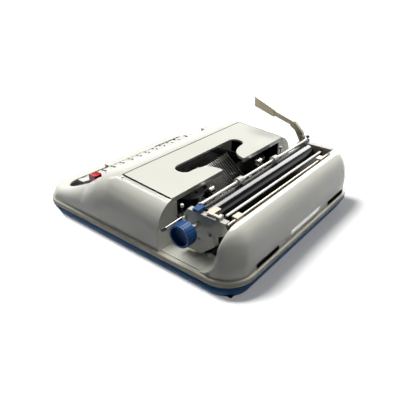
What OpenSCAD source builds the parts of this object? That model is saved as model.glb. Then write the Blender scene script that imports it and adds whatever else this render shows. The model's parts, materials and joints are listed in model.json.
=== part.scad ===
// Portable manual typewriter with a hinged ribbon cover and a sliding carriage.
// Frame: +X to the typist's right, +Y to the rear, +Z up; origin on the table, under the middle of the whole.

/* [Base] */
// Width of the base over its rim
base_w = 333; // [327:1:339]
// Depth of the base over its rim
base_d = 370; // [366:1:376]
// Middle of the base, left of the printing point
mid_x = -6.5; // [-8:0.5:-4]
// Middle of the base, in front of the origin
mid_y = -4; // [-6:0.5:-2]
// Corner radius of the base in plan
base_r = 40; // [36:1:44]
// Top of the blue pan above the table
pan_top = 22; // [20:0.5:24]
// How far the pan draws in at its bottom edge
pan_inset = 8.4; // [5:0.2:10]
// Height of the rim band above the pan
rim_h = 8; // [6:0.5:8]
// Height of the rubber feet
foot_h = 3; // [2:0.5:4]
// Radius of the rubber feet
foot_r = 9; // [6:0.5:11]

/* [Casing] */
// Wall thickness of the moulded shells
wall = 3; // [2.6:0.1:3.2]
// Step from the rim band in to the casing wall
casing_step = 4; // [3:0.5:5]
// Radius where the front half's sides turn into the deck
side_r = 38; // [34:1:40]
// Rear end of the front half, where the carriage channel starts
deck_rear = 61; // [59:0.5:62]
// Height of the deck at its rear end
deck_rear_z = 94; // [93:0.5:95]
// Slope of the deck, rising to the front
deck_tilt = 4.6; // [4:0.1:5]
// Height of the rear hump
hump_z = 92.5; // [91:0.5:94]
// Front edge of the rear hump
hump_front = 153; // [152:0.5:155]
// Half width of the keyboard opening
well_x = 142; // [141:0.5:144]
// Radius of the keyboard opening's front corners
well_r = 26; // [22:1:28]
// Front edge of the keyboard opening
well_front = -164; // [-167:0.5:-163]

/* [Cover] */
// Half width of the ribbon cover
cover_x = 133.8; // [132:0.2:134.4]
// Length of the ribbon cover
cover_l = 86.6; // [85:0.2:88]
// Thickness of the ribbon cover
cover_t = 3; // [2.6:0.1:3.2]
// Seam between the cover and the deck
seam = 0.7; // [0.6:0.05:0.9]
// Radius of the cover's hinge pins
hinge_r = 0.8; // [0.6:0.05:0.9]
// Height of the lip along the cover's rear edge
lip_h = 7; // [5:0.5:8]

/* [Carriage] */
// Position of the platen's axis from front to back
platen_y = 108; // [107.5:0.25:108.5]
// Height of the platen's axis
platen_z = 78; // [77.5:0.25:78.5]
// Radius of the platen's rubber
platen_r = 15.5; // [15:0.1:15.6]
// Radius of the platen shaft
shaft_r = 4; // [3:0.1:5]
// Outer face of the right end plate
plate_right = 133; // [132:0.5:134]
// Outer face of the left end plate
plate_left = -151; // [-153:0.5:-150]
// Thickness of the end plates
plate_t = 8.5; // [7.5:0.5:9]
// Top of the end plates
plate_top = 93; // [92:0.5:93]
// Radius of the platen knob
knob_r = 15; // [14:0.5:16]
// Width of the platen knob's grip
knob_w = 15; // [12:0.5:16]
// Radius of the paper bail's rod
bail_r = 2; // [1.5:0.1:2.2]
// Radius of the bail rollers
roller_r = 5.2; // [4.8:0.1:5.2]
// Running clearance of shafts in their holes
run_fit = 0.06; // [0.04:0.01:0.1]
// Clearance between pieces that slide past each other
slide_fit = 0.4; // [0.35:0.05:0.5]

/* [Type basket] */
// Length of a type bar from its pivot to its slug
bar_len = 56; // [55:0.5:57]
// Thickness of a type bar
bar_t = 1; // [0.8:0.1:1.1]
// Number of type bars on each side of the middle one
bars_side = 10; // [8:1:16]
// Angle of the outermost type bar
bar_spread = 41; // [36:1:42]

/* [Keyboard] */
// Distance between keys in a row
key_pitch = 19; // [18.6:0.1:19.4]
// Distance between rows
row_pitch = 19; // [18.6:0.1:19.2]
// Width of a key cap
cap_w = 14.5; // [13:0.25:15]
// Depth of a key cap
cap_d = 13.5; // [12.5:0.25:14]
// Height of a key cap
cap_h = 8; // [6:0.5:9]
// Position of the back row of keys
row_back = -82; // [-83:0.5:-81]
// Height of the back row's caps
row_back_z = 77; // [76:0.5:79]
// Step down from one row to the next
row_drop = 8; // [7:0.25:8]

/* [Hidden] */
$fn = 48;
half_w = base_w / 2;
half_d = base_d / 2;
rim_z = pan_top + rim_h;
rim_in = 7.5;
pan_floor = foot_h + wall;
casing_x = half_w - casing_step;
casing_y = half_d - casing_step;
casing_r = base_r - casing_step;
front_y = mid_y - casing_y;
rear_y = mid_y + casing_y;
pin_x = cover_x + 0.6;
saddle_x = 125;
saddle_out = half_w - rim_in - 0.3;
slot_x = [-134, 59];
hinge_y = -cover_l + 2;
hinge_z = -cover_t / 2;
knob_end = plate_right + 20 + knob_w;
place_x = -(mid_x - half_w + knob_end) / 2;
place_y = -mid_y;
selector_y = 103.2;
bar_pivot_r = 0.9;

// Bell and mainspring drum stand in the hump, clear of its rear wall
bell_x = -70;
bell_r = 12;
drum_x = 70;
drum_r = 13;
rear_gap = 3;
bell_y = rear_y - wall - rear_gap - bell_r;
drum_y = rear_y - wall - rear_gap - drum_r;

// Carriage places that follow the platen
bail_y = platen_y - 4.5;
bail_z = platen_z + 20.8;
bail_pivot_y = platen_y - 16;
bail_pivot_z = platen_z + 6;
arm_t = 2;
plate_in_r = plate_right - plate_t;
plate_in_l = plate_left + plate_t;
arm_x_r = plate_in_r - slide_fit - arm_t;
arm_x_l = plate_in_l + slide_fit;
platen_x0 = arm_x_l + arm_t + 2.5;
platen_x1 = arm_x_r - 2.5;
knob_x = plate_right + 20;
roller_x = [44, -44];
roller_w = 11;
feed_r = 5;
feed_shaft_r = 2;
feed_z = platen_z - platen_r - feed_r - slide_fit;
rail_y = 98;
rail_d = 12;
rail_z0 = 26;
rail_z1 = 36;
flange_t = 2.4;
flange_z = 32;
bed_z = rail_z1 + slide_fit;
bed_t = 4;
margin_y = 144;
margin_z = 86;
margin_r = 1.6;
stop_w = 13;
release_y = 87.6;
release_z = 80;
lever_x = -148.2;
lever_y = 93;
fold_y = 73.6;
fold_z = 118;

// Type basket: its local z runs along the resting bars, its local y towards the printing point
basket_tilt = 52;
strike_y = platen_y - 15.5;
strike_z = platen_z + 10;
bar_h = 5;
slug_l = 7;
slug_w = 1.5;
slug_out = 2.4;
segment_in = 49;
segment_out = 62;

// Key levers turn on one shaft
key_shaft_r = 2;
key_y = 24;
key_z = 46;
lever_t = 1.2;
lever_h = 5;
frame_x = 113;
frame_t = 2;
stagger = [-7, 2.5, 7.25, -2.25];
first_key = [0, 0, 0, 1];
last_key = [11, 10, 10, 10];
row_slots = 11;
middle_row = 2;
middle_key = 5;
space_y = -155.5;
space_z = 51;
space_half = 54;

function bezier(a, b, c, d, n) = [for (i = [0:n]) let (t = i / n, s = 1 - t)
    s * s * s * a + 3 * s * s * t * b + 3 * s * t * t * c + t * t * t * d];
function key_x(row, i) = (i - row_slots / 2) * key_pitch + stagger[row];
function row_y(row) = row_back - row * row_pitch;
function row_z(row) = row_back_z - row * row_drop;
function deck_at(y) = deck_rear_z + (deck_rear - y) * tan(deck_tilt);

// Puts a piece, drawn about the printing point, into the frame of the whole
module place() {
    translate([place_x, place_y, 0]) children();
}

// Box from its two corners
module span(a, b) {
    translate(a) cube(b - a);
}

// Upright block with rounded corners in plan
module plan_block(hx, hy, r, z0, z1) {
    translate([mid_x, mid_y, 0]) {
        span([-hx + r, -hy, z0], [hx - r, hy, z1]);
        span([-hx, -hy + r, z0], [hx, hy - r, z1]);
        for (sx = [-1, 1], sy = [-1, 1])
            translate([sx * (hx - r), sy * (hy - r), z0]) cylinder(r = r, h = z1 - z0);
    }
}

// Block along Y with round shoulders along its top, which lies at z1
module shoulder_block(hx, r, y0, y1, z0, z1) {
    translate([mid_x, 0, 0]) {
        span([-hx, y0, z0], [hx, y1, z1 - r]);
        span([-hx + r, y0, z0], [hx - r, y1, z1]);
        for (sx = [-1, 1])
            translate([sx * (hx - r), y0, z1 - r]) rotate([-90, 0, 0]) cylinder(r = r, h = y1 - y0);
    }
}

// Extrudes a YZ outline along X
module across(x0, x1, points) {
    translate([x0, 0, 0]) rotate([90, 0, 90]) linear_extrude(x1 - x0) polygon(points);
}

// Rod along X
module rod_x(r, x0, x1, y, z) {
    translate([x0, y, z]) rotate([0, 90, 0]) cylinder(r = r, h = x1 - x0);
}

// Rod between two points
module rod(r, a, b) {
    d = b - a;
    translate(a) rotate([0, acos(d[2] / norm(d)), atan2(d[1], d[0])]) cylinder(r = r, h = norm(d));
}

// Frame of the sloping deck: local y runs back from its rear edge, local z up from its face
module on_deck() {
    translate([0, deck_rear, deck_rear_z]) rotate([-deck_tilt, 0, 0]) children();
}

// Side outline of the front half, drawn in by t
function front_outline(t) = concat(
    [[front_y + t, rim_z]],
    bezier([front_y + t, rim_z + 6], [front_y + t, rim_z + 10 - t / 2],
        [front_y + 3 + t / 2, rim_z + 13.5 - t],
        [front_y + 8, rim_z + 13.5 - t], 6),
    bezier([-170, rim_z + 13.7 - t], [-112 + t / 2, rim_z + 17 - t], [-86 + t / 2, rim_z + 58 - t],
        [-52 + t / 2, deck_at(-52) - 5.6 - t], 14),
    bezier([-49 + t / 2, deck_at(-49) - 4.5 - t], [-43, deck_at(-43) - 2.2 - t], [-38, deck_at(-38) - t],
        [-30, deck_at(-30) - t], 5),
    [[deck_rear - t, deck_at(deck_rear) - t], [deck_rear - t, rim_z]]);

// Side outline of the rear hump, drawn in by t
function hump_outline(t) = concat(
    [[hump_front - 31, rim_z - wall]],
    [for (a = [0:9:90]) [hump_front - 31 + (28 + t) * sin(a), rim_z + 28 - (28 + t) * cos(a)]],
    [[hump_front + t * 0.9, hump_z - 1.5 - t]],
    [for (a = [4:8:92]) let (b = min(a, 90))
        [hump_front + 2 + (rear_y - hump_front - 2 - t) * sin(b), 45 + (hump_z - 45 - t) * cos(b)]],
    [[rear_y - t, rim_z - wall]]);

module front_half(t) {
    intersection() {
        plan_block(casing_x - t, casing_y - t, casing_r - t, rim_z, 130);
        on_deck() shoulder_block(casing_x - t, side_r - t, -270, 40, -130, -t);
        across(mid_x - half_w, mid_x + half_w, front_outline(t));
    }
}

module hump(t) {
    intersection() {
        plan_block(casing_x - t, casing_y - t, casing_r - t, rim_z, 130);
        shoulder_block(casing_x - t, 36 - t, 60, half_d, rim_z - wall - 1, hump_z - t);
        across(mid_x - half_w, mid_x + half_w, hump_outline(t));
    }
}

module rounded(hx, hy, r) {
    translate([mid_x, mid_y]) {
        square([2 * (hx - r), 2 * hy], center = true);
        square([2 * hx, 2 * (hy - r)], center = true);
        for (sx = [-1, 1], sy = [-1, 1])
            translate([sx * (hx - r), sy * (hy - r)]) circle(r, $fn = 64);
    }
}

module base_pan() {
    color("steelblue") place() difference() {
        hull() {
            translate([0, 0, foot_h]) linear_extrude(1)
                rounded(half_w - pan_inset, half_d - pan_inset, base_r - pan_inset);
            translate([0, 0, pan_top - 1]) linear_extrude(1) rounded(half_w, half_d, base_r);
        }
        plan_block(half_w - pan_inset - wall, half_d - pan_inset - wall, base_r - pan_inset - wall,
            pan_floor, 40);
    }
}

module rubber_feet() {
    color("dimgray") place() for (sx = [-1, 1], sy = [-1, 1])
        translate([mid_x + sx * (half_w - 40), mid_y + sy * (half_d - 40), 0])
            cylinder(r = foot_r, h = foot_h);
}

module rim_band() {
    color("ivory") place() difference() {
        plan_block(half_w, half_d, base_r, pan_top, rim_z);
        plan_block(half_w - rim_in, half_d - rim_in, base_r - rim_in, pan_top - 1, rim_z + 1);
    }
}

// Opening for the keyboard, with round front corners
module key_well() {
    span([-well_x + well_r, well_front, rim_z - 1], [well_x - well_r, -62, 130]);
    span([-well_x, well_front + well_r, rim_z - 1], [well_x, -62, 130]);
    for (s = [-1, 1])
        translate([s * (well_x - well_r), well_front + well_r, rim_z - 1]) cylinder(r = well_r, h = 100);
}
module casing() {
    color("ivory") place() difference() {
        union() {
            difference() {
                front_half(0);
                front_half(wall);
            }
            difference() {
                hump(0);
                hump(wall);
            }
            for (s = [0, 1]) translate([mid_x, 0, 0]) mirror([s, 0, 0]) {
                span([saddle_x, deck_rear - wall, rim_z - wall], [saddle_out, hump_front - 20, rim_z]);
                span([saddle_x, deck_rear - wall, rim_z - wall], [saddle_out, deck_rear, rim_z + 6]);
            }
        }
        translate([mid_x, 0, 0]) {
            key_well();
            span([-saddle_x, deck_rear - wall - 1, rim_z - wall - 1], [saddle_x, hump_front - 3.2, 130]);
            on_deck() {
                span([-cover_x - seam, -cover_l - seam, -wall - 1], [cover_x + seam, 10, 2]);
                span([-cover_x - seam, -4.5, -lip_h - slide_fit], [cover_x + seam, 10, 2]);
                for (s = [-1, 1]) rod_x(hinge_r, s * pin_x - 6, s * pin_x + 6, hinge_y, hinge_z);
            }
        }
        for (x = slot_x) span([x, rear_y - wall - 1, rim_z + 2], [x + 50, rear_y + 1, rim_z + 6.5]);
    }
}

module case_screws() {
    color("silver") place() for (sx = [-1, 1], sy = [-1, 1])
        translate([mid_x + sx * (half_w - 60), mid_y + sy * (half_d - 40), foot_h - 1])
            cylinder(r = 3, h = 1);
}

module rear_plate() {
    color("whitesmoke") place() span([-53, rear_y, rim_z + 7], [28, rear_y + 0.8, rim_z + 13]);
}

module side_frame(s) {
    difference() {
        across(s > 0 ? frame_x : -frame_x - frame_t, s > 0 ? frame_x + frame_t : -frame_x,
            [[-50, pan_floor], [112, pan_floor], [112, rail_z0], [84, rail_z0], [80, 66], [20, 66],
                [-50, 34]]);
        rod_x(key_shaft_r, -130, 130, key_y, key_z);
    }
}
module frame_left() {
    color("gray") place() side_frame(-1);
}
module frame_right() {
    color("gray") place() side_frame(1);
}

module frame_crossbars() {
    color("gray") place() {
        span([-frame_x, -48, 8], [frame_x, -44, 18]);
        difference() {
            span([-frame_x, 76, 10], [frame_x, 80, 26]);
            for (x = [-4.5, 4.5]) span([x - 1.2, 75, 0], [x + 1.2, 77.6, 40]);
        }
    }
}

module key_shaft() {
    color("silver") place() rod_x(key_shaft_r, -133, 133, key_y, key_z);
}

module carriage_rail() {
    color("silver") place() span([-frame_x - frame_t, rail_y, rail_z0],
        [frame_x + frame_t, rail_y + rail_d, rail_z1]);
}

module card_holder() {
    color("silver") place() for (s = [-1, 1]) {
        span([s * 10 - 3, 80, 14], [s * 10 + 3, 81, 80]);
        span([s * 10 - 3, 81, 79], [s * 10 + 3, 90, 80]);
    }
}

module spool_cups() {
    color("dimgray") place() for (s = [-1, 1]) {
        translate([s * 76, 44, 60]) cylinder(r = 23, h = 2);
        span([s * 94.5 - 18.5, 36, 58], [s * 94.5 + 18.5, 52, 60]);
        translate([s * 76, 44, 60]) cylinder(r = 2, h = 24);
    }
}

module bell() {
    color("gold") place() {
        translate([bell_x, bell_y, pan_floor]) cylinder(r = 3, h = 30);
        translate([bell_x, bell_y, pan_floor + 30]) difference() {
            cylinder(r = bell_r, h = 9);
            translate([0, 0, -1]) cylinder(r = bell_r - 1.5, h = 8);
        }
        translate([bell_x, bell_y, pan_floor + 29]) cylinder(r = 2, h = 9);
    }
}

module drum_post() {
    color("gray") place() {
        translate([drum_x, drum_y, pan_floor]) cylinder(r = 5, h = 26);
        translate([drum_x, drum_y, pan_floor]) cylinder(r = 2.5, h = 42);
    }
}
module mainspring_drum() {
    color("silver") place() translate([drum_x, drum_y, pan_floor + 26]) difference() {
        union() {
            cylinder(r = drum_r - 0.5, h = 10);
            cylinder(r = drum_r, h = 1.5);
            translate([0, 0, 8.5]) cylinder(r = drum_r, h = 1.5);
        }
        translate([0, 0, -1]) cylinder(r = 2.5 + run_fit, h = 20);
        translate([8, 0, 7]) cylinder(r = 1.5, h = 10);
    }
}

module cover_hinge_pins() {
    color("silver") place() on_deck() for (s = [-1, 1])
        rod_x(hinge_r, mid_x + s * pin_x - 6, mid_x + s * pin_x + 6, hinge_y, hinge_z);
}

// Type slot with round ends and the neck that runs out to the rear edge
module cover_cutout() {
    translate([-65.5, -54]) square([123, 24.5]);
    for (x = [57.5, -65.5]) translate([x, -41.75]) circle(12.25);
    polygon(concat(
        bezier([58, -29.6], [34, -29], [23, -24], [22, 1], 8),
        bezier([-29, 1], [-30, -14], [-36, -27], [-66, -29.6], 8),
        [[-66, -40], [58, -40]]));
}
module top_cover() {
    color("ivory") place() on_deck() difference() {
        union() {
            span([mid_x - cover_x, -cover_l, -cover_t], [mid_x + cover_x, 0, 0]);
            span([mid_x - cover_x, -2.5, -lip_h], [mid_x + cover_x, 0, 0]);
        }
        translate([0, 0, -10]) linear_extrude(12) cover_cutout();
        for (s = [-1, 1])
            rod_x(hinge_r + run_fit, mid_x + s * pin_x - 6, mid_x + s * pin_x + 6, hinge_y, hinge_z);
    }
}

module on_basket() {
    translate([0, strike_y, strike_z]) rotate([basket_tilt, 0, 0]) children();
}
// One type bar lying at rest at angle a of the segment
module one_bar(a) {
    rotate([0, 0, a]) {
        span([-bar_t / 2, -bar_len - bar_h / 2, -3], [bar_t / 2, -bar_len + bar_h / 2, bar_len]);
        span([-slug_w / 2, -bar_len - 2, bar_len - slug_l],
            [slug_w / 2, -bar_len + bar_h / 2 + slug_out, bar_len]);
    }
}
module type_segment() {
    color("darkgray") place() {
        on_basket() difference() {
            translate([0, 0, -6]) rotate([0, 0, -90 - bar_spread - 3])
                rotate_extrude(angle = 2 * bar_spread + 6)
                translate([segment_in, 0]) square([segment_out - segment_in, 10]);
            for (i = [-bars_side:bars_side]) rotate([0, 0, i * bar_spread / bars_side])
                span([-bar_t / 2 - 0.2, -bar_len - bar_h / 2 - 2, -4.6],
                    [bar_t / 2 + 0.2, -segment_in + 5, 12]);
        }
        on_basket() rod_x(bar_pivot_r, -1.2, 1.2, -bar_len, 0);
        for (s = [-1, 1]) {
            span([s * 22 - 4, 70, 14], [s * 22 + 4, 76 - slide_fit, 40]);
            span([s * 22 - 4, 60, 34], [s * 22 + 4, 72, 40]);
        }
    }
}
module type_bars() {
    color("dimgray") place() on_basket() for (i = [-bars_side:bars_side]) if (i != 0)
        one_bar(i * bar_spread / bars_side);
}
module type_bar_middle() {
    color("dimgray") place() on_basket() difference() {
        one_bar(0);
        rod_x(bar_pivot_r + run_fit, -3, 3, -bar_len, 0);
    }
}

module ribbon_vibrator() {
    color("silver") place() {
        for (x = [-4.5, 4.5]) span([x - 0.8, 76, 12], [x + 0.8, 77.2, 74]);
        span([-5.3, 77.2, 28], [5.3, 78.2, 34]);
    }
}

module spool(s) {
    translate([s * 76, 44, 62.3]) difference() {
        union() {
            cylinder(r = 21, h = 1.2);
            cylinder(r = 16, h = 14);
            translate([0, 0, 12.8]) cylinder(r = 21, h = 1.2);
        }
        translate([0, 0, -1]) cylinder(r = 2 + run_fit, h = 20);
        for (a = [0, 120, 240]) rotate([0, 0, a]) translate([10, 0, 11]) cylinder(r = 2.5, h = 5);
    }
}
module ribbon_spool_left() {
    color("black") place() spool(-1);
}
module ribbon_spool_right() {
    color("black") place() spool(1);
}

module ribbon_reverse_bar() {
    color("dimgray") place() {
        span([-106, 64, 26], [106, 66, 28]);
        for (s = [0, 1]) mirror([s, 0, 0]) {
            span([104, 64, 26], [106, 66, 68.4]);
            span([104, 64, 66.4], [123, 72.5, 68.4]);
            translate([120, 71, 68]) cylinder(r = 0.8, h = 14);
        }
    }
}
module reverse_tips() {
    color("white") place() for (s = [-1, 1]) translate([s * 120, 71, 82]) cylinder(r = 2.2, h = 4);
}

// Key cap at x, y with its top at z
module cap(x, y, z, w, d, h = cap_h) {
    translate([x, y, z - h]) difference() {
        span([-w / 2, -d / 2, 0], [w / 2, d / 2, h]);
        translate([0, -d, h + 17.6]) rotate([-90, 0, 0]) cylinder(r = 18.6, h = 2 * d);
    }
}
// Lever from the shaft out to y, with a post up to a cap whose top is at z
module lever(x, y, z) {
    difference() {
        union() {
            span([x - lever_t / 2, y - 2, key_z - lever_h / 2],
                [x + lever_t / 2, key_y + 5, key_z + lever_h / 2]);
            span([x - lever_t / 2, y - 2, key_z - lever_h / 2], [x + lever_t / 2, y + 2, z - cap_h + 0.2]);
        }
        rod_x(key_shaft_r + run_fit, x - 2, x + 2, key_y, key_z);
    }
}
module one_key(x, y, z, w, lx) {
    cap(x, y, z, w, cap_d);
    lever(lx, y, z);
}
module key_row(row) {
    for (i = [first_key[row]:last_key[row]]) if (row != middle_row || i != middle_key)
        one_key(key_x(row, i), row_y(row), row_z(row), cap_w, key_x(row, i));
}
module key_row_1() {
    color("ivory") place() key_row(0);
}
module key_row_2() {
    color("ivory") place() key_row(1);
}
module key_row_3() {
    color("ivory") place() key_row(2);
}
module key_row_4() {
    color("ivory") place() key_row(3);
}
module key_middle() {
    x = key_x(middle_row, middle_key);
    color("ivory") place() one_key(x, row_y(middle_row), row_z(middle_row), cap_w, x);
}
module space_bar() {
    color("ivory") place() {
        span([-space_half, space_y - 6, space_z - 6], [space_half, space_y + 6, space_z]);
        for (s = [0, 1]) mirror([s, 0, 0]) {
            difference() {
                across(frame_x - 4, frame_x - 2.8, [[key_y - 20, 28], [key_y + 5, key_z - 3],
                    [key_y + 5, key_z + 2.5], [key_y - 5, key_z + 2.5], [key_y - 26, 32], [space_y + 8, 32],
                    [space_y + 8, 28]]);
                rod_x(key_shaft_r + run_fit, frame_x - 6, frame_x, key_y, key_z);
            }
            span([39, space_y - 1, 28], [41, space_y + 9, 32]);
            span([39, space_y - 1, 28], [41, space_y + 1, space_z - 5]);
        }
        span([-frame_x + 2.8, space_y + 8, 28], [frame_x - 2.8, space_y + 10.5, 32]);
    }
}
module shift_key_left() {
    color("ivory") place() one_key(-112, row_y(3), row_z(3), 22, -118);
}
module shift_key_right() {
    color("ivory") place() one_key(109, row_y(3), row_z(3), 22, 117.5);
}
module shift_lock_key() {
    color("ivory") place() one_key(-119, row_y(2), row_z(2), 15, -122.5);
}
module backspace_key() {
    color("ivory") place() one_key(107, row_y(1), row_z(1), cap_w, 107);
}
module tab_key() {
    color("red") place() {
        cap(126.5, -90, 82, 12.5, 13, 13);
        lever(127, -90, 80);
    }
}
module margin_release_key() {
    color("ivory") place() one_key(-127, -90, 80, 13, -127);
}

module carriage_bed() {
    color("dimgray") place() {
        span([plate_in_l, rail_y - flange_t - slide_fit, bed_z],
            [plate_in_r, rail_y + rail_d + slide_fit + flange_t, bed_z + bed_t]);
        span([plate_in_l, rail_y - flange_t - slide_fit, flange_z],
            [plate_in_r, rail_y - slide_fit, bed_z + bed_t]);
        span([plate_in_l, rail_y + rail_d + slide_fit, flange_z],
            [plate_in_r, rail_y + rail_d + slide_fit + flange_t, bed_z + bed_t]);
    }
}

function plate_outline() = [[91, plate_top], [147, plate_top], [146.5, 90], [141, 84.5], [145.5, 76],
    [130.4, 68.3], [132, 55.4], [124.7, 48.7], [111, 36.5], [88, 36.5], [85, 42], [85, 84]];
module end_plate(x0, x1) {
    difference() {
        across(x0, x1, plate_outline());
        rod_x(shaft_r + run_fit, x0 - 1, x1 + 1, platen_y, platen_z);
        rod_x(feed_shaft_r + run_fit, x0 - 1, x1 + 1, platen_y, feed_z);
    }
}
module end_plate_right() {
    color("whitesmoke") place() {
        end_plate(plate_in_r, plate_right);
        rod_x(1.5, plate_right - 1, plate_right + 5, release_y, release_z);
        rod_x(2.6, plate_right - 0.5, plate_right + 0.8, 126, 69.5);
        rod_x(2, arm_x_r - 0.6, plate_in_r, bail_pivot_y, bail_pivot_z);
        for (x = [plate_in_r, plate_right - 2]) span([x, 133.5, plate_top], [x + 2, 138.5, plate_top + 5]);
        rod_x(1.2, plate_in_r, plate_right, 136, plate_top + 2.9);
    }
}
module end_plate_left() {
    color("whitesmoke") place() {
        end_plate(plate_left, plate_in_l);
        rod_x(2, plate_in_l, arm_x_l + arm_t + 0.6, bail_pivot_y, bail_pivot_z);
        translate([lever_x, lever_y, plate_top - 1]) cylinder(r = 2.5, h = 9);
        for (x = [plate_left, plate_in_l - 2.2]) span([x, selector_y - 2, plate_top - 1],
            [x + 1.2, selector_y + 2, plate_top + 5]);
        rod_x(1, plate_left, plate_in_l - 1, selector_y, plate_top + 2.9);
    }
}

module paper_table() {
    color("black") place() across(plate_in_l, plate_in_r, [[118, 56], [120, 56], [131, 72], [134, 87.6],
        [132, 87.6],
        [129.4, 73]]);
}
module paper_scale() {
    color("white") place() span([-134, 131.6, 87.6], [112, 135, 89.6]);
}
module margin_rail() {
    color("tan") place() rod_x(margin_r, plate_in_l, plate_in_r, margin_y, margin_z);
}
module margin_stop(x) {
    difference() {
        span([x - stop_w / 2, margin_y - 5, margin_z - 4], [x + stop_w / 2, margin_y + 3.4, margin_z + 3.5]);
        rod_x(margin_r + run_fit, x - 20, x + 20, margin_y, margin_z);
    }
}
module margin_stop_left() {
    color("tan") place() margin_stop(-112);
}
module margin_stop_right() {
    color("tan") place() margin_stop(103);
}

module platen() {
    color("black") place() difference() {
        rod_x(platen_r, platen_x0, platen_x1, platen_y, platen_z);
        rod_x(shaft_r, platen_x0 - 1, platen_x1 + 1, platen_y, platen_z);
    }
}
module platen_shaft() {
    color("silver") place() rod_x(shaft_r, plate_left - 2, knob_x + knob_w - 8, platen_y, platen_z);
}
module platen_knob() {
    color("royalblue") place() difference() {
        union() {
            rod_x(shaft_r + 1.4, knob_x - 5, knob_x + 1, platen_y, platen_z);
            rod_x(knob_r - 0.7, knob_x, knob_x + knob_w, platen_y, platen_z);
            for (a = [0:15:345]) translate([knob_x + 1, platen_y, platen_z]) rotate([a, 0, 0])
                span([0, knob_r - 2, -0.9], [knob_w - 3, knob_r, 0.9]);
        }
        rod_x(knob_r - 3.2, knob_x + knob_w - 7, knob_x + knob_w + 1, platen_y, platen_z);
        rod_x(shaft_r, plate_right, knob_x + knob_w - 8, platen_y, platen_z);
    }
}
module ratchet_wheel() {
    color("silver") place() difference() {
        union() {
            rod_x(11, platen_x0 - 2, platen_x0, platen_y, platen_z);
            for (a = [0:15:345]) translate([platen_x0 - 2, platen_y, platen_z]) rotate([a, 0, 0])
                span([0, 9, -1], [2, 12.5, 1]);
        }
        rod_x(shaft_r, platen_x0 - 3, platen_x0 + 1, platen_y, platen_z);
    }
}
module feed_rollers() {
    color("dimgray") place() {
        rod_x(feed_shaft_r, plate_in_l - 4, plate_in_r + 4, platen_y, feed_z);
        for (x = [-100, -40, 20, 80]) rod_x(feed_r, x - 14, x + 14, platen_y, feed_z);
    }
}

module bail_arm(x) {
    difference() {
        across(x, x + arm_t, [[bail_pivot_y - 4, bail_pivot_z - 3], [bail_pivot_y + 3, bail_pivot_z - 4],
            [bail_y + 3, bail_z - 2], [bail_y + 2, bail_z + 2.6], [bail_y - 3, bail_z + 1.5]]);
        rod_x(2 + run_fit, x - 1, x + arm_t + 1, bail_pivot_y, bail_pivot_z);
    }
}
module paper_bail() {
    color("tan") place() {
        rod_x(bail_r, arm_x_l, arm_x_r + arm_t, bail_y, bail_z);
        bail_arm(arm_x_l);
        bail_arm(arm_x_r);
        for (x = roller_x, s = [-1, 1])
            rod_x(3, x + s * 7.3 - 1, x + s * 7.3 + 1, bail_y, bail_z);
    }
}
module bail_tab() {
    color("royalblue") place() difference() {
        span([arm_x_r - 1, 102, 95.4], [136.5, 110.8, 99.2]);
        span([arm_x_r - 2, 100, 90], [arm_x_r + arm_t + 0.05, bail_y + 3.2, 104]);
        span([arm_x_r - 2, 106, 97.4], [arm_x_r + arm_t, 120, 104]);
    }
}
module bail_rollers() {
    color("lightgray") place() for (x = roller_x) difference() {
        rod_x(roller_r, x - roller_w / 2, x + roller_w / 2, bail_y, bail_z);
        rod_x(bail_r + run_fit, x - 10, x + 10, bail_y, bail_z);
    }
}

module paper_release_lever() {
    color("tan") place() difference() {
        union() {
            rod_x(2.4, plate_in_r + 2.3, plate_right - 2.3, 136, plate_top + 2.9);
            span([plate_in_r + 2.3, 121, plate_top + 1.9], [plate_right - 2.3, 136, plate_top + 3.9]);
            span([113, 117.5, plate_top + 1.9], [plate_right - 2.3, 126, plate_top + 3.9]);
        }
        rod_x(1.2 + run_fit, plate_in_r, plate_right, 136, plate_top + 2.9);
    }
}
module carriage_release_lever() {
    color("silver") place() {
        difference() {
            rod_x(2.8, plate_right + 0.3, plate_right + 4, release_y, release_z);
            rod_x(1.5 + run_fit, plate_right, plate_right + 6, release_y, release_z);
        }
        rod(0.9, [plate_right + 2, release_y - 3, release_z], [160, 80, 75]);
    }
}
module release_tip() {
    color("black") place() rod(2.4, [160, 80, 75], [166, 78, 73.5]);
}

module return_lever_base() {
    color("tan") place() difference() {
        union() {
            translate([lever_x, lever_y, plate_top + 0.3]) cylinder(r = 5, h = 9);
            across(lever_x - 2.6, lever_x + 2.6, [[lever_y - 4.5, plate_top + 2],
                [lever_y + 3, plate_top + 2],
                [lever_y + 1, 107], [fold_y + 5, fold_z + 3], [fold_y - 3, fold_z + 4],
                [fold_y - 3, fold_z - 4],
                [fold_y + 6, 109]]);
        }
        translate([lever_x, lever_y, plate_top - 2]) cylinder(r = 2.5 + run_fit, h = 10.06);
        span([lever_x - 1.2, fold_y - 8, fold_z - 12], [lever_x + 1.2, fold_y + 6, fold_z + 8]);
    }
    color("silver") place() rod_x(1.5, lever_x - 4.5, lever_x + 4.5, fold_y, fold_z);
}
module return_lever_arm() {
    color("tan") place() difference() {
        union() {
            across(lever_x - 0.9, lever_x + 0.9, [[fold_y + 3.4, fold_z - 2], [fold_y + 2, fold_z + 3.4],
                [36, 133],
                [36, 125], [fold_y - 3, fold_z - 3]]);
            across(lever_x - 2, lever_x + 2, [[39, 122], [39, 134], [0.6, 149], [0.6, 133.5]]);
        }
        rod_x(1.5 + run_fit, lever_x - 5, lever_x + 5, fold_y, fold_z);
    }
}
module line_space_selector() {
    color("royalblue") place() difference() {
        union() {
            translate([plate_left + 3.75, selector_y, plate_top + 2.9]) cylinder(r = 1, h = 6);
            rod_x(2, plate_left + 1.6, plate_in_l - 2.6, selector_y, plate_top + 2.9);
            translate([plate_left + 3.75, selector_y, plate_top + 9.5]) sphere(r = 2.6);
        }
        rod_x(1 + run_fit, plate_left - 1, plate_in_l, selector_y, plate_top + 2.9);
    }
}

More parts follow.
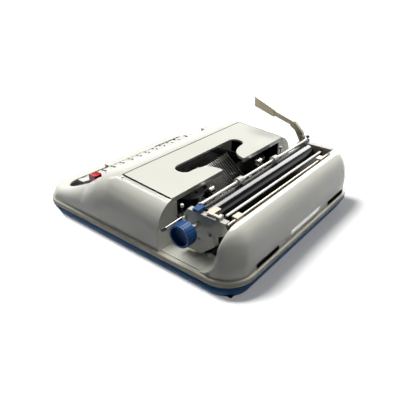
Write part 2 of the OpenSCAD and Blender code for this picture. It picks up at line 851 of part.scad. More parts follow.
base_pan();
rubber_feet();
rim_band();
casing();
case_screws();
rear_plate();
frame_left();
frame_right();
frame_crossbars();
key_shaft();
carriage_rail();
card_holder();
spool_cups();
bell();
cover_hinge_pins();
drum_post();
top_cover();
type_segment();
type_bars();
type_bar_middle();
ribbon_vibrator();
ribbon_spool_left();
ribbon_spool_right();
ribbon_reverse_bar();
reverse_tips();
mainspring_drum();
key_row_1();
key_row_2();
key_row_3();
key_row_4();
key_middle();
space_bar();
shift_key_left();
shift_key_right();
shift_lock_key();
backspace_key();
tab_key();
margin_release_key();
carriage_bed();
end_plate_right();
end_plate_left();
paper_table();
paper_scale();
margin_rail();
margin_stop_left();
margin_stop_right();
platen();
platen_shaft();
platen_knob();
ratchet_wheel();
feed_rollers();
paper_bail();
bail_tab();
bail_rollers();
paper_release_lever();
carriage_release_lever();
release_tip();
return_lever_base();
return_lever_arm();
line_space_selector();
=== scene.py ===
"""Looks of a portable manual typewriter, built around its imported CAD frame."""
import json
import math

import bmesh
import bpy
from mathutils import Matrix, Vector


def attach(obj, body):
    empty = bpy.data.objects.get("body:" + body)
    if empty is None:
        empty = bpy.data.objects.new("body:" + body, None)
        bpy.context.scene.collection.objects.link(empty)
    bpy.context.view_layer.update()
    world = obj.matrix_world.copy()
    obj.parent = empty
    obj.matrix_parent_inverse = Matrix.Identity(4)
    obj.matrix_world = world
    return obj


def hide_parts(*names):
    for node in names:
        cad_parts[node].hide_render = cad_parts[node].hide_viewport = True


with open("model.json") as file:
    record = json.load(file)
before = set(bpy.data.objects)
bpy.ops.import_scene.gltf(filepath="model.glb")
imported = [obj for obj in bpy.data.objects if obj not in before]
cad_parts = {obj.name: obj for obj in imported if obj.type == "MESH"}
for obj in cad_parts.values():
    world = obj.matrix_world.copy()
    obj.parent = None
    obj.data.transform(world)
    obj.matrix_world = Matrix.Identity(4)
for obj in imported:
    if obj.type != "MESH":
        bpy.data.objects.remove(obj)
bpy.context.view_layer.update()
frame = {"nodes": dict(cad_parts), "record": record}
nodes = frame["nodes"]
slots = {s["node"]: s["material_slot"] for s in frame["record"]["subparts"]}
MM = 0.001

# Camera of the photograph, found from the outline of the base
EYE = Vector((461.3, 385.8, 348.4)) * MM
BACK = Vector((0.6755, 0.5380, 0.5042))
LENS = 36.97

# Suns: the overhead one lights the part, the slanting one only the floor, for the photograph's shadow
OVERHEAD_WAY = Vector((0.38, 0.20, -1.0))
OVERHEAD_SPREAD = math.radians(44)
OVERHEAD_LEVEL = 4.1
SLANTING_WAY = Vector((-0.36, 0.42, -1.0))
SLANTING_SPREAD = math.radians(20)
SLANTING_LEVEL = 3.7

# Floor: what diffuse rays see of it is dull, what the camera sees glows a little, so that shadows stay grey
FLOOR_HALF = 12.0
FLOOR_COLOUR = (0.94, 0.94, 0.94)
BOUNCE_COLOUR = (0.03, 0.03, 0.03)
FLOOR_GLOW = 0.22

# World: seen directly it is white up to one height and dark from the next on, as sines of the angle
WORLD_LEVEL = 0.02
WHITE_BELOW = 0.35
DARK_ABOVE = 0.5

# Soft boxes in metres and watts: place, aim, width, height, power
SOFT_BOXES = {"back": ((-0.85, 0.05, 1.0), (0, 0.1, 0.08), 0.5, 1.5, 18.0),
              "window": ((0.15, -1.0, 1.1), (0.1, 0, 0.08), 0.12, 1.0, 3.0)}

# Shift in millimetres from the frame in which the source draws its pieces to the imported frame
PLACE = Vector((2.5, 4.0, 0.0))

# Noise levels of a finish: where its dark and its light colour lie, and between which a stain sets in
DARK_AT = 0.3
LIGHT_AT = 0.7
STAIN_STARTS = 0.62
STAIN_FULL = 0.78
# How much finer spots are than patches, and what share of the darkening the lightening is
SPOTS_FINER = 2.6
LIGHTER_SHARE = 0.6
GRAIN_HEIGHT = 0.0002
LEAST_ROUGH = 0.02
COAT_ROUGH = 0.12
LEVER_BLACK = (0.012, 0.012, 0.012)
# Places in metres behind which the rows' and the tab key's nodes are levers, no longer caps
CAPS_END = -0.070
TAB_END = -0.078


def node(tree, kind, **inputs):
    """Adds a shader node and sets the sockets named in inputs."""
    n = tree.nodes.new(kind)
    for key, value in inputs.items():
        n.inputs[key.replace("_", " ")].default_value = value
    return n


def finish(name, colour, rough=0.35, metal=0.0, vary=0.06, patch=22.0, grain=2500.0, bump=0.08,
           stretch=(1, 1, 1), stain=None, coat=0.0, rough_vary=0.12, coat_ior=1.5, shine=0.5, behind=None):
    """A procedural finish: patchy colour, uneven roughness and a fine grain.

    A stain is a second colour in spots. Behind is a place along Y, in metres, where the colour turns black.
    """
    m = bpy.data.materials.new(name)
    m.use_nodes = True
    t = m.node_tree
    bsdf = t.nodes["Principled BSDF"]
    where = t.nodes.new("ShaderNodeTexCoord")
    along = node(t, "ShaderNodeMapping", Scale=stretch)
    t.links.new(where.outputs["Object"], along.inputs["Vector"])
    patches = node(t, "ShaderNodeTexNoise", Scale=patch, Detail=5.0, Roughness=0.6)
    grains = node(t, "ShaderNodeTexNoise", Scale=grain, Detail=3.0, Roughness=0.55)
    for n in (patches, grains):
        t.links.new(along.outputs["Vector"], n.inputs["Vector"])
    ramp = t.nodes.new("ShaderNodeValToRGB")
    low = [c * (1 - vary) for c in colour]
    high = [min(1.0, c * (1 + vary * LIGHTER_SHARE)) for c in colour]
    ramp.color_ramp.elements[0].position = DARK_AT
    ramp.color_ramp.elements[0].color = (*low, 1)
    ramp.color_ramp.elements[1].position = LIGHT_AT
    ramp.color_ramp.elements[1].color = (*high, 1)
    t.links.new(patches.outputs["Fac"], ramp.inputs["Fac"])
    skin = ramp.outputs["Color"]
    if stain:
        spots = node(t, "ShaderNodeTexNoise", Scale=patch * SPOTS_FINER, Detail=6.0, Roughness=0.7)
        t.links.new(along.outputs["Vector"], spots.inputs["Vector"])
        mask = node(t, "ShaderNodeMapRange")
        mask.inputs["From Min"].default_value = STAIN_STARTS
        mask.inputs["From Max"].default_value = STAIN_FULL
        t.links.new(spots.outputs["Fac"], mask.inputs["Value"])
        mix = t.nodes.new("ShaderNodeMix")
        mix.data_type = "RGBA"
        mix.inputs["B"].default_value = (*stain, 1)
        t.links.new(mask.outputs["Result"], mix.inputs["Factor"])
        t.links.new(skin, mix.inputs["A"])
        skin = mix.outputs["Result"]
    if behind is not None:
        parts = t.nodes.new("ShaderNodeSeparateXYZ")
        t.links.new(where.outputs["Object"], parts.inputs["Vector"])
        past = t.nodes.new("ShaderNodeMath")
        past.operation = "GREATER_THAN"
        past.inputs[1].default_value = behind
        t.links.new(parts.outputs["Y"], past.inputs[0])
        swap = t.nodes.new("ShaderNodeMix")
        swap.data_type = "RGBA"
        swap.inputs["B"].default_value = (*LEVER_BLACK, 1)
        t.links.new(past.outputs["Value"], swap.inputs["Factor"])
        t.links.new(skin, swap.inputs["A"])
        skin = swap.outputs["Result"]
    t.links.new(skin, bsdf.inputs["Base Color"])
    uneven = node(t, "ShaderNodeMapRange")
    uneven.inputs["To Min"].default_value = max(LEAST_ROUGH, rough - rough_vary / 2)
    uneven.inputs["To Max"].default_value = min(1.0, rough + rough_vary / 2)
    t.links.new(grains.outputs["Fac"], uneven.inputs["Value"])
    t.links.new(uneven.outputs["Result"], bsdf.inputs["Roughness"])
    relief = node(t, "ShaderNodeBump", Strength=bump, Distance=GRAIN_HEIGHT)
    t.links.new(grains.outputs["Fac"], relief.inputs["Height"])
    t.links.new(relief.outputs["Normal"], bsdf.inputs["Normal"])
    bsdf.inputs["Metallic"].default_value = metal
    bsdf.inputs["Coat Weight"].default_value = coat
    bsdf.inputs["Coat Roughness"].default_value = COAT_ROUGH
    bsdf.inputs["Coat IOR"].default_value = coat_ior
    bsdf.inputs["Specular IOR Level"].default_value = shine
    return m


BRUSHED = (0.15, 6, 6)
ROLLED = (0.3, 4, 4)
finishes = {}


def add_finish(name, colour, *looks, **more):
    """Makes a finish and keeps it under its name."""
    finishes[name] = finish(name, colour, *looks, **more)


add_finish("blue_paint", (0.03, 0.16, 0.40), 0.5, vary=0.12, patch=35, bump=0.12, shine=0.25)
# Black for the casing's dark interior, also painted shade in the seam, the slots, the hump's low front and on
# the pan's floor
add_finish("inside_black", (0.010, 0.010, 0.010), 0.9, vary=0.3, patch=90, bump=0.2, shine=0.0)
add_finish("type_steel", (0.52, 0.51, 0.49), 0.30, 1.0, vary=0.15, patch=200, bump=0.1)
add_finish("rubber", (0.03, 0.03, 0.03), 0.8, vary=0.25, patch=120, bump=0.4)
add_finish("ivory_trim", (0.66, 0.64, 0.53), 0.38, vary=0.06, patch=30, stain=(0.58, 0.53, 0.36))
add_finish("ivory_shell", (0.81, 0.81, 0.722), 0.19, vary=0.025, patch=14, coat=0.35, bump=0.05)
add_finish("steel", (0.56, 0.55, 0.52), 0.32, 1.0, vary=0.12, patch=90, stretch=BRUSHED, bump=0.12)
add_finish("dark_steel", (0.045, 0.044, 0.043), 0.42, 0.7, vary=0.3, patch=160, bump=0.2)
add_finish("bright", (0.78, 0.77, 0.74), 0.16, 1.0, vary=0.08, patch=120, bump=0.06)
add_finish("grey_paint", (0.56, 0.56, 0.51), 0.42, vary=0.05, patch=60, bump=0.25, grain=3500)
add_finish("black_paint", (0.012, 0.012, 0.012), 0.4, vary=0.3, patch=80, bump=0.2, shine=0.2)
add_finish("champagne", (0.62, 0.555, 0.45), 0.36, 0.75, vary=0.1, patch=80, stretch=BRUSHED, bump=0.1)
add_finish("bail_satin", (0.84, 0.81, 0.72), 0.34, 0.2, vary=0.08, patch=80, stretch=BRUSHED, bump=0.08)
add_finish("lever_bronze", (0.40, 0.36, 0.28), 0.36, 0.6, vary=0.1, patch=80, stretch=BRUSHED, bump=0.1)
add_finish("white_plastic", (0.86, 0.86, 0.83), 0.3, vary=0.03, patch=60)
add_finish("blue_plastic", (0.004, 0.085, 0.27), 0.45, vary=0.14, patch=120, bump=0.15, shine=0.3)
add_finish("red_plastic", (0.55, 0.008, 0.018), 0.28, vary=0.1, patch=120, behind=TAB_END)
add_finish("key_plastic", (0.82, 0.81, 0.74), 0.32, vary=0.04, patch=60, behind=CAPS_END)
add_finish("black_plastic", (0.016, 0.016, 0.017), 0.5, vary=0.25, patch=150, bump=0.2)
add_finish("brass", (0.70, 0.50, 0.20), 0.25, 1.0, vary=0.12, patch=120)
add_finish("platen_rubber", (0.010, 0.010, 0.010), 0.22, vary=0.3, patch=70, bump=0.06, coat=1.0,
           coat_ior=1.65, stretch=ROLLED, shine=0.0)
add_finish("clear_grey", (0.56, 0.56, 0.53), 0.3, vary=0.08, patch=120)
add_finish("plate_print", (0.90, 0.90, 0.88), 0.3, 0.75, vary=0.06, patch=60)

# Edge roundings in millimetres; caps get theirs and everything else the default
ROUNDING = {"casing": 1.6, "rim_band": 1.6, "base_pan": 1.5, "top_cover": 0.8, "platen_knob": 0.5,
            "return_lever_arm": 0.6, "return_lever_base": 0.6, "end_plate_right": 0.9, "end_plate_left": 0.9,
            "tab_key": 1.4, "space_bar": 1.6, "type_bars": 0.12, "type_segment": 0.12,
            "type_bar_middle": 0.12, "bail_tab": 0.8, "rear_plate": 0.2}
CAP_ROUNDING = 1.1
DEFAULT_ROUNDING = 0.35
# Reach of the weld in metres; angles up to which faces are flat, edges go unrounded and shading is smooth
WELD_REACH = 2e-6
FLAT_ANGLE = math.radians(0.4)
EDGE_ANGLE = math.radians(32)
SMOOTH_ANGLE = math.radians(34)
# Pieces whose finish departs from their slot's
OWN_FINISH = {"type_bars": "type_steel", "type_bar_middle": "type_steel", "paper_bail": "bail_satin",
              "return_lever_arm": "lever_bronze", "return_lever_base": "lever_bronze"}


def dress(name):
    """Gives a CAD node its finish, soft edges and even shading, without touching its mesh."""
    o = nodes[name]
    o.data.materials.clear()
    o.data.materials.append(finishes[OWN_FINISH.get(name, slots[name])])
    for p in o.data.polygons:
        p.use_smooth = True
    if "custom_normal" in o.data.attributes:
        o.data.attributes.remove(o.data.attributes["custom_normal"])
    weld = o.modifiers.new("weld", "WELD")
    weld.merge_threshold = WELD_REACH
    flat = o.modifiers.new("flat", "DECIMATE")
    flat.decimate_type = "DISSOLVE"
    flat.angle_limit = FLAT_ANGLE
    edge = o.modifiers.new("edge", "BEVEL")
    has_caps = name.startswith("key_row") or name.endswith("_key")
    edge.width = ROUNDING.get(name, CAP_ROUNDING if has_caps else DEFAULT_ROUNDING) * MM
    edge.segments = 3
    edge.limit_method = "ANGLE"
    edge.angle_limit = EDGE_ANGLE
    edge.harden_normals = True
    even = o.modifiers.new("even", "WEIGHTED_NORMAL")
    even.keep_sharp = False
    even.weight = 80


for name in nodes:
    dress(name)


def new_piece(name, verts, faces):
    """A mesh object from points in millimetres of the source's frame."""
    me = bpy.data.meshes.new(name)
    me.from_pydata([(Vector(v) + PLACE) * MM for v in verts], [], faces)
    me.validate()
    o = bpy.data.objects.new(name, me)
    bpy.context.scene.collection.objects.link(o)
    return o


def loft(name, rings):
    """Skins rings of points and closes both ends."""
    n = len(rings[0])
    verts = [v for ring in rings for v in ring]
    faces = []
    for i in range(len(rings) - 1):
        for k in range(n - 1):
            a = i * n + k
            faces.append((a, a + 1, a + n + 1, a + n))
    faces.append(tuple(range(n))[::-1])
    last = (len(rings) - 1) * n
    faces.append(tuple(range(last, last + n)))
    o = new_piece(name, verts, faces)
    settle_normals(o)
    return o


def settle_normals(o):
    """Turns all faces outwards."""
    bm = bmesh.new()
    bm.from_mesh(o.data)
    bmesh.ops.recalc_face_normals(bm, faces=bm.faces)
    bm.to_mesh(o.data)
    bm.free()


def box(name, low, high, turn=None):
    """A block between two corners; turn maps its points into the source's frame."""
    xs, ys, zs = zip(low, high)
    verts = [Vector((x, y, z)) for x in xs for y in ys for z in zs]
    if turn:
        verts = [turn(v) for v in verts]
    ends = [(0, 1, 3, 2), (4, 6, 7, 5)]
    walls = [(0, 4, 5, 1), (2, 3, 7, 6), (0, 2, 6, 4), (1, 5, 7, 3)]
    return new_piece(name, verts, ends + walls)


def settle(o, kind, **settings):
    """Adds a modifier to a new piece and applies it."""
    m = o.modifiers.new(kind.lower(), kind)
    for key, value in settings.items():
        setattr(m, key, value)
    bpy.context.view_layer.objects.active = o
    bpy.ops.object.modifier_apply(modifier=m.name)


def cut(o, block, lining=None):
    """Takes block out of o; the cut's faces get the lining's finish."""
    block.data.materials.append(lining or finishes["ivory_shell"])
    settle(o, "BOOLEAN", operation="DIFFERENCE", solver="EXACT", object=block, material_mode="TRANSFER")
    bpy.data.objects.remove(block)


def bezier(a, b, c, d, n):
    """Points of a cubic curve from a to d, in n steps."""
    out = []
    for i in range(n + 1):
        t = i / n
        u = 1 - t
        shares = (u ** 3, 3 * u * u * t, 3 * u * t * t, t ** 3)
        out.append(tuple(sum(f * p[k] for f, p in zip(shares, (a, b, c, d))) for k in (0, 1)))
    return out


def quarter(x, y, r, way):
    """Points of a quarter circle round (x, y), from its side to its top or bottom."""
    turns = [math.radians(a) for a in range(0, 91, 6)]
    return [(x + r * math.cos(a), y + way * r * math.sin(a)) for a in turns]


# Sizes of the casing in millimetres, most of them those of the part's source
MID_X = -6.5
SIDE_X = 162.5
CORNER = 36.0
FRONT_Y = -185.0
REAR_Y = 177.0
RIM_Z = 30.0
DECK_REAR = 61.0
DECK_Z = 94.0
TILT = math.radians(4.6)
SHOULDER = 38.0
SHOULDER_SHARE = 0.88
HUMP_FRONT = 153.0
HUMP_Z = 92.5
WALL = 3.0
MID_Y = -4.0
WELL_HALF = 142.0
WELL_R = 26.0
WELL_FRONT = -164.0
WELL_BACK = -62.0
SADDLE_IN = 125.0
SADDLE_OUT = 158.7
SLOT_STARTS = (-134, 59)
SLOT_LONG = 50.0
SLOT_LOW = 2.0
SLOT_HIGH = 6.5

# The cover's opening and the room for its rear lip, in the deck's frame
OPENING_HALF = 134.5
OPENING_LONG = 87.3
OPENING_DEEP = 4.5
LIP_LONG = 4.5
LIP_DEEP = 7.4

# Cutting blocks run past what they cut, up to these places
TOOL_TOP = 130.0
TOOL_REAR = 100.0
ABOVE_DECK = 4
BEHIND_DECK = 10

# Faces of the hump's front below the first height, over the rim, are black, painted shade under the carriage;
# the shell's interior before the second place, along Y, is ivory, and behind it black as dark paint and
# painted shade
PAINTED_SHADE_BELOW = 34.0
IVORY_BEFORE = -60.0


def deck_at(y):
    """Height of the sloping deck at y."""
    return DECK_Z + (DECK_REAR - y) * math.tan(TILT)


def on_deck(v):
    """From the sloping deck's frame to the source's."""
    c, s = math.cos(TILT), math.sin(TILT)
    return Vector((v.x + MID_X, DECK_REAR + v.y * c + v.z * s, DECK_Z - v.y * s + v.z * c))


def front_shell():
    """The front half's skin: sections along Y whose shoulder radius follows their height."""
    lip = bezier((FRONT_Y, RIM_Z + 6), (FRONT_Y, RIM_Z + 10),
                 (FRONT_Y + 3, RIM_Z + 13.5), (FRONT_Y + 8, RIM_Z + 13.5), 8)
    rise = bezier((-170, RIM_Z + 13.7), (-112, RIM_Z + 17), (-86, RIM_Z + 58), (-52, deck_at(-52) - 5.6), 30)
    brow = bezier((-49, deck_at(-49) - 4.5), (-43, deck_at(-43) - 2.2),
                  (-38, deck_at(-38)), (-30, deck_at(-30)), 8)
    deck = [(y, deck_at(y)) for y in (-15, 0, 15, 30, 45, DECK_REAR)]
    rings = []
    for y, top in lip + rise + brow + deck:
        half = SIDE_X
        if y < FRONT_Y + CORNER:
            half += math.sqrt(max(0.0, CORNER ** 2 - (FRONT_Y + CORNER - y) ** 2)) - CORNER
        r = min(SHOULDER, SHOULDER_SHARE * (top - RIM_Z))
        side = [(half, RIM_Z + (top - r - RIM_Z) * k / 3) for k in range(3)]
        side += quarter(half - r, top - r, r, 1)
        side += [((half - r) * k, top) for k in (0.66, 0.33)]
        right = [(MID_X + x, y, z) for x, z in side]
        left = [(MID_X - x, y, z) for x, z in reversed(side)]
        rings.append(right + [(MID_X, y, top)] + left)
    return loft("front_shell", rings)


# The hump's front: radius of its hollow sweep, lean of its face and rise of the face used at its ends
SWEEP_R = 28.0
FACE_LEAN = 3.0
FACE_RISE = 8.0
# The hump's crest: its rounding, and the height where the back starts to curve
CREST_R = 1.2
BACK_LOW = 45.0


def hump_edge(z):
    """Front edge of the rear hump at height z: a hollow sweep, then an almost upright face."""
    foot = HUMP_FRONT - FACE_LEAN - SWEEP_R
    if z < RIM_Z:
        return foot
    if z < RIM_Z + SWEEP_R:
        return foot + SWEEP_R * math.sin(math.acos(1 - (z - RIM_Z) / SWEEP_R))
    return foot + SWEEP_R + FACE_LEAN * (z - RIM_Z - SWEEP_R) / (HUMP_Z - RIM_Z - SWEEP_R)


def sweep_top(y):
    """Height of the hollow sweep at y."""
    past = y - HUMP_FRONT + FACE_LEAN
    if past > 0:
        return RIM_Z + SWEEP_R + past * FACE_RISE
    share = max(0.0, min(1.0, past / SWEEP_R + 1))
    return RIM_Z + SWEEP_R * (1 - math.cos(math.asin(share)))


def hump_shell():
    """The rear hump's skin: sections along X that draw in towards both rounded ends."""
    bends = [math.radians(a) for a in list(range(0, 86, 5)) + [86.5, 88, 89.2, 90]]
    places = [(SIDE_X - CORNER + CORNER * math.sin(a), CORNER - CORNER * math.cos(a)) for a in bends]
    middle = [(k * (SIDE_X - CORNER) / 4, 0.0) for k in range(-3, 4)]
    places = [(-x, d) for x, d in reversed(places)] + middle + places
    rings = []
    for x, drop in places:
        rear = REAR_Y - drop
        top = min(HUMP_Z - drop, sweep_top(rear - 4) + CREST_R)
        base = RIM_Z - WALL
        ring = []
        for k in range(25):
            z = base + (top - CREST_R - base) * k / 24
            ring.append((hump_edge(z), z))
        crest = ring[-1][0] + CREST_R
        low = min(BACK_LOW, base + (top - base) * 0.4)
        for a in range(0, 91, 5):
            b = math.radians(a)
            ring.append((crest + (rear - crest) * math.sin(b), low + (top - low) * math.cos(b)))
        ring += [(rear, low + (base - low) * k / 3) for k in (1, 2, 3)]
        rings.append([(MID_X + x, y, z) for y, z in ring])
    return loft("hump_shell", rings)


def key_well():
    """Block of the keyboard opening, with round front corners."""
    plan = [(WELL_HALF, WELL_BACK)]
    plan += quarter(WELL_HALF - WELL_R, WELL_FRONT + WELL_R, WELL_R, -1)
    plan += [(-x, y) for x, y in reversed(plan)]
    n = len(plan)
    verts = [(MID_X + x, y, z) for z in (RIM_Z - 1, TOOL_TOP) for x, y in plan]
    faces = [(k, (k + 1) % n, n + (k + 1) % n, n + k) for k in range(n)]
    faces += [tuple(range(n))[::-1], tuple(range(n, 2 * n))]
    o = new_piece("well", verts, faces)
    settle_normals(o)
    return o


def build_casing():
    """Smooth moulded casing in place of the CAD casing, whose faces meet in creases."""
    front = front_shell()
    hump = hump_shell()
    dark_inside_and_shade = finishes["inside_black"]
    for o in (front, hump):
        o.data.materials.append(finishes["ivory_shell"])
        o.data.materials.append(dark_inside_and_shade)
        for p in o.data.polygons:
            x, y, z = p.center / MM - PLACE
            # The hump's low front between the saddles, under the carriage, takes the black: painted shade
            if o is hump and abs(x - MID_X) < SADDLE_IN - 1 and z < RIM_Z + PAINTED_SHADE_BELOW and y < HUMP_FRONT:
                p.material_index = 1
        # The inner skin takes the black: the casing's dark interior, and painted shade where it shows through
        # openings
        settle(o, "SOLIDIFY", thickness=WALL * MM, offset=-1.0, material_offset=1)
    for p in front.data.polygons:
        if p.center.y / MM - PLACE.y < IVORY_BEFORE:
            p.material_index = 0
    cut(front, key_well())
    corner = (OPENING_HALF, BEHIND_DECK, ABOVE_DECK)
    # The cover opening's cut walls get the black: painted shade in the seam round the cover
    cut(front, box("opening", (-OPENING_HALF, -OPENING_LONG, -OPENING_DEEP), corner, on_deck), dark_inside_and_shade)
    cut(front, box("lip_room", (-OPENING_HALF, -LIP_LONG, -LIP_DEEP), corner, on_deck))
    low, start = RIM_Z - WALL - 1, DECK_REAR - WALL - 1
    cut(front, box("channel", (MID_X - SADDLE_IN, start, low), (MID_X + SADDLE_IN, TOOL_REAR, TOOL_TOP)))
    # The slots in the hump's back are lined black: painted shade behind them
    for x in SLOT_STARTS:
        near, far = REAR_Y - WALL - 4, REAR_Y + 1
        low, high = (x, near, RIM_Z + SLOT_LOW), (x + SLOT_LONG, far, RIM_Z + SLOT_HIGH)
        cut(hump, box("slot", low, high), dark_inside_and_shade)
    parts = [front, hump]
    for s in (-1, 1):
        a, b = sorted((MID_X + s * SADDLE_IN, MID_X + s * SADDLE_OUT))
        saddle = box("saddle", (a, DECK_REAR - WALL, RIM_Z - WALL), (b, HUMP_FRONT - SWEEP_R, RIM_Z))
        saddle.data.materials.append(finishes["ivory_shell"])
        parts.append(saddle)
    bpy.ops.object.select_all(action="DESELECT")
    for o in parts:
        o.select_set(True)
    bpy.context.view_layer.objects.active = front
    bpy.ops.object.join()
    front.name = "casing_shell"
    me = front.data
    for p in me.polygons:
        p.use_smooth = True
    me.set_sharp_from_angle(angle=SMOOTH_ANGLE)
    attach(front, "chassis")
    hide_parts("casing")


build_casing()


def rod(name, radius, a, b, sides=24):
    """A round bar between two points."""
    a, b = Vector(a), Vector(b)
    axis = (b - a).normalized()
    u = axis.orthogonal().normalized()
    w = axis.cross(u)
    verts = []
    for end in (a, b):
        for k in range(sides):
            t = 2 * math.pi * k / sides
            verts.append(end + radius * (math.cos(t) * u + math.sin(t) * w))
    faces = [(k, (k + 1) % sides, sides + (k + 1) % sides, sides + k) for k in range(sides)]
    faces += [tuple(range(sides))[::-1], tuple(range(sides, 2 * sides))]
    return new_piece(name, verts, faces)


def add_piece(name, parts, body, material, round_by=0.3):
    """Joins parts into one named piece that rides on a body."""
    bpy.ops.object.select_all(action="DESELECT")
    for o in parts:
        o.select_set(True)
    o = parts[0]
    bpy.context.view_layer.objects.active = o
    if len(parts) > 1:
        bpy.ops.object.join()
    o.name = name
    o.data.materials.clear()
    o.data.materials.append(finishes[material])
    for p in o.data.polygons:
        p.use_smooth = True
        p.material_index = 0
    o.data.set_sharp_from_angle(angle=SMOOTH_ANGLE)
    if round_by:
        edge = o.modifiers.new("edge", "BEVEL")
        edge.width = round_by * MM
        edge.segments = 2
        edge.limit_method = "ANGLE"
        edge.harden_normals = True
    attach(o, body)


# Black sheet on the pan's floor, painted shade within the machine: half sizes, height and thickness in
# millimetres
SHADE_SHEET_X = 154.0
SHADE_SHEET_Y = 172.0
SHADE_SHEET_Z = 6.1
SHADE_SHEET_T = 0.5
# Black strips under the seam round the cover, on the deck, as painted shade for the seam's dark line: edges
# of the side strips and of the front strip
SEAM_IN = 133.86
SEAM_OUT = 134.9
SEAM_REAR = -3.0
FRONT_SEAM_IN = -87.12
FRONT_SEAM_OUT = -88.1
SEAM_LOW = -3.0
SEAM_HIGH = 0.03
# Ribbon guides beside the printing point: place, height of the wheel and half width of the fork
GUIDE_X = 59.0
GUIDE_Y = 68.0
GUIDE_LOW = 61.0
GUIDE_Z = 80.0
FORK_HALF = 5.0
# Screw in the right end plate
SCREW_R = 2.3
SCREW_FROM = (133.0, 126, 69.5)
SCREW_TO = (134.0, 126, 69.5)


def build_pan_shade_sheet():
    """Black sheet on the pan's floor, painted shade within the machine."""
    low = (MID_X - SHADE_SHEET_X, MID_Y - SHADE_SHEET_Y, SHADE_SHEET_Z)
    high = (MID_X + SHADE_SHEET_X, MID_Y + SHADE_SHEET_Y, SHADE_SHEET_Z + SHADE_SHEET_T)
    shade_sheet = box("floor_mat", low, high)
    add_piece("floor_mat", [shade_sheet], "chassis", "inside_black", 0)


def build_seam_shade_strips():
    """Black strips, painted shade that shows as the seam round the cover."""
    strips = []
    for s in (-1, 1):
        a, b = sorted((s * SEAM_IN, s * SEAM_OUT))
        strips.append(box("strip", (a, FRONT_SEAM_OUT, SEAM_LOW), (b, SEAM_REAR, SEAM_HIGH), on_deck))
    low, high = (-SEAM_OUT, FRONT_SEAM_OUT, SEAM_LOW), (SEAM_OUT, FRONT_SEAM_IN, SEAM_HIGH)
    strips.append(box("strip", low, high, on_deck))
    add_piece("seam_strips", strips, "chassis", "inside_black", 0)


def build_ribbon_guides():
    """A post, a foot, a wheel and a fork on each side of the printing point."""
    guides = []
    for s in (-1, 1):
        x = s * GUIDE_X
        foot = s * (GUIDE_X + 3)
        axle = GUIDE_Y + 0.5
        guides.append(rod("post", 1.3, (x, GUIDE_Y, GUIDE_LOW), (x, GUIDE_Y, GUIDE_Z)))
        low, high = (foot - 6, GUIDE_Y - 10, GUIDE_LOW + 0.9), (foot + 6, GUIDE_Y + 3, GUIDE_LOW + 2)
        guides.append(box("foot", low, high))
        guides.append(rod("wheel", 4.2, (x - 4, axle, GUIDE_Z), (x + 4, axle, GUIDE_Z)))
        for side in (-1, 1):
            prong = x + side * FORK_HALF
            low = (prong - 0.6, axle - 3, GUIDE_Z - 4)
            guides.append(box("fork", low, (prong + 0.6, axle + 3, GUIDE_Z + 4)))
    add_piece("ribbon_guides", guides, "chassis", "bright", 0.3)


def build_plate_screw():
    """Screw head on the right end plate."""
    screw = rod("screw", SCREW_R, SCREW_FROM, SCREW_TO)
    add_piece("plate_screw", [screw], "carriage", "dark_steel", 0.3)


build_pan_shade_sheet()
build_seam_shade_strips()
build_ribbon_guides()
build_plate_screw()


def soft_box(name, place, aim, wide, tall, power):
    """A soft box at place that points at aim and shows only as a highlight on glossy faces."""
    lamp = bpy.data.lights.new(name, "AREA")
    lamp.shape = "RECTANGLE"
    lamp.size = wide
    lamp.size_y = tall
    lamp.energy = power
    o = bpy.data.objects.new(name, lamp)
    o.visible_diffuse = False
    o.location = place
    o.rotation_euler = (Vector(aim) - Vector(place)).to_track_quat("-Z", "Y").to_euler()
    bpy.context.scene.collection.objects.link(o)


def seen_directly(tree, rays):
    """One for camera, glossy and transmission rays, so that metal shows the same background."""
    seen = rays.outputs["Is Camera Ray"]
    for kind in ("Is Glossy Ray", "Is Transmission Ray"):
        either = tree.nodes.new("ShaderNodeMath")
        either.operation = "MAXIMUM"
        tree.links.new(seen, either.inputs[0])
        tree.links.new(rays.outputs[kind], either.inputs[1])
        seen = either.outputs["Value"]
    return seen


def sun(name, way, spread, level):
    """A sun that shines along way, spread out over an angle."""
    lamp = bpy.data.lights.new(name, "SUN")
    lamp.energy = level
    lamp.angle = spread
    o = bpy.data.objects.new(name, lamp)
    o.rotation_euler = way.to_track_quat("-Z", "Y").to_euler()
    bpy.context.scene.collection.objects.link(o)
    return o


def light_only(lamp, target, state):
    """Lets a lamp light only the target, or everything but the target."""
    group = bpy.data.collections.new(lamp.name + "_targets")
    group.objects.link(target)
    group.collection_objects[0].light_linking.link_state = state
    lamp.light_linking.receiver_collection = group


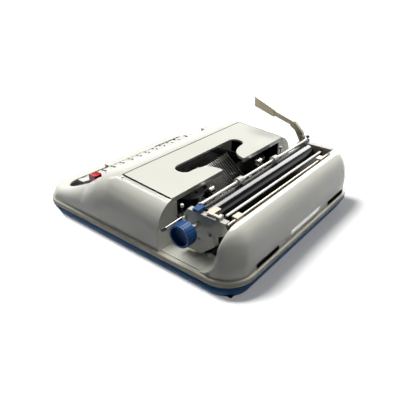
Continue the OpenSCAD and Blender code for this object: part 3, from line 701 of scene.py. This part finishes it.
def build_floor():
    """Pale floor that keeps the part's shadow and throws little light back on it."""
    bpy.ops.mesh.primitive_plane_add(size=2 * FLOOR_HALF, location=(0, 0, 0))
    floor = bpy.context.object
    floor.name = "floor"
    paper = finish("floor", FLOOR_COLOUR, 0.9, vary=0.004, bump=0.0, rough_vary=0.02)
    tree = paper.node_tree
    bsdf = tree.nodes["Principled BSDF"]
    rays = tree.nodes.new("ShaderNodeLightPath")
    dull = tree.nodes.new("ShaderNodeMix")
    dull.data_type = "RGBA"
    dull.inputs["B"].default_value = (*BOUNCE_COLOUR, 1)
    tree.links.new(rays.outputs["Is Diffuse Ray"], dull.inputs["Factor"])
    tree.links.new(bsdf.inputs["Base Color"].links[0].from_socket, dull.inputs["A"])
    tree.links.new(dull.outputs["Result"], bsdf.inputs["Base Color"])
    glow = tree.nodes.new("ShaderNodeMath")
    glow.operation = "MULTIPLY"
    glow.inputs[1].default_value = FLOOR_GLOW
    tree.links.new(seen_directly(tree, rays), glow.inputs[0])
    bsdf.inputs["Emission Color"].default_value = (1, 1, 1, 1)
    tree.links.new(glow.outputs["Value"], bsdf.inputs["Emission Strength"])
    floor.data.materials.append(paper)
    return floor


def light_world():
    """White surroundings under a dark ceiling, for the camera and for reflections; dim for all other rays."""
    world = bpy.data.worlds.new("studio")
    bpy.context.scene.world = world
    world.use_nodes = True
    tree = world.node_tree
    sky = tree.nodes["Background"]
    sky.inputs["Color"].default_value = (1, 1, 1, 1)
    seen = seen_directly(tree, tree.nodes.new("ShaderNodeLightPath"))
    heading = tree.nodes.new("ShaderNodeTexCoord")
    parts = tree.nodes.new("ShaderNodeSeparateXYZ")
    tree.links.new(heading.outputs["Generated"], parts.inputs["Vector"])
    level = tree.nodes.new("ShaderNodeMapRange")
    level.inputs["From Min"].default_value = WHITE_BELOW
    level.inputs["From Max"].default_value = DARK_ABOVE
    level.inputs["To Min"].default_value = 1.0
    level.inputs["To Max"].default_value = WORLD_LEVEL
    tree.links.new(parts.outputs["Z"], level.inputs["Value"])
    strength = node(tree, "ShaderNodeMix", A=WORLD_LEVEL)
    tree.links.new(seen, strength.inputs["Factor"])
    tree.links.new(level.outputs["Result"], strength.inputs["B"])
    tree.links.new(strength.outputs["Result"], sky.inputs["Strength"])


def place_camera():
    """The photograph's camera."""
    camera = bpy.data.cameras.new("camera")
    camera.sensor_width = 36
    camera.lens = LENS
    eye = bpy.data.objects.new("camera", camera)
    eye.location = EYE
    eye.rotation_euler = (-BACK).to_track_quat("-Z", "Y").to_euler()
    bpy.context.scene.collection.objects.link(eye)
    bpy.context.scene.camera = eye


def set_stage():
    """Floor, surroundings, lamps and camera."""
    floor = build_floor()
    light_world()
    overhead = sun("overhead", OVERHEAD_WAY, OVERHEAD_SPREAD, OVERHEAD_LEVEL)
    slanting = sun("slanting", SLANTING_WAY, SLANTING_SPREAD, SLANTING_LEVEL)
    light_only(overhead, floor, "EXCLUDE")
    light_only(slanting, floor, "INCLUDE")
    for name, settings in SOFT_BOXES.items():
        soft_box(name, *settings)
    place_camera()
    bpy.context.scene.view_settings.view_transform = "Standard"


set_stage()
